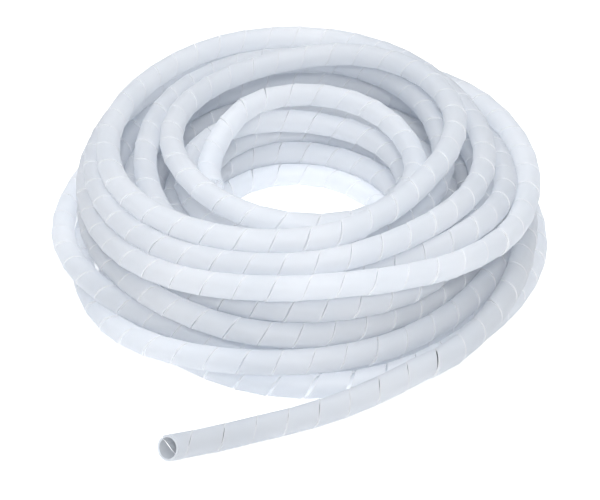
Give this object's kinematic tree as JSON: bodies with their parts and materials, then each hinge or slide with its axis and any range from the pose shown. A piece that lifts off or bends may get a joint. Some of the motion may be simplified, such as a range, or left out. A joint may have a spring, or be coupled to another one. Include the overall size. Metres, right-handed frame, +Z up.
{
  "type": "spiral cable wrap",
  "caption": "Loosely coiled length of soft, milky spiral-cut tube for bundling wires, lying flat with one free end in front.",
  "frame": {"origin": "middle of the whole piece's footprint, on the floor it lies on", "axes": "+Z up along the coil's eye, -Y towards the front where the free end lies, +X to the right seen from the front"},
  "size_m": [0.211, 0.247, 0.0549],
  "materials": {
    "natural_polyethylene": "semi-matte milky translucent"
  },
  "bodies": {
    "root": {"coil": "natural_polyethylene", "tail": "natural_polyethylene"}
  },
  "joints": []
}
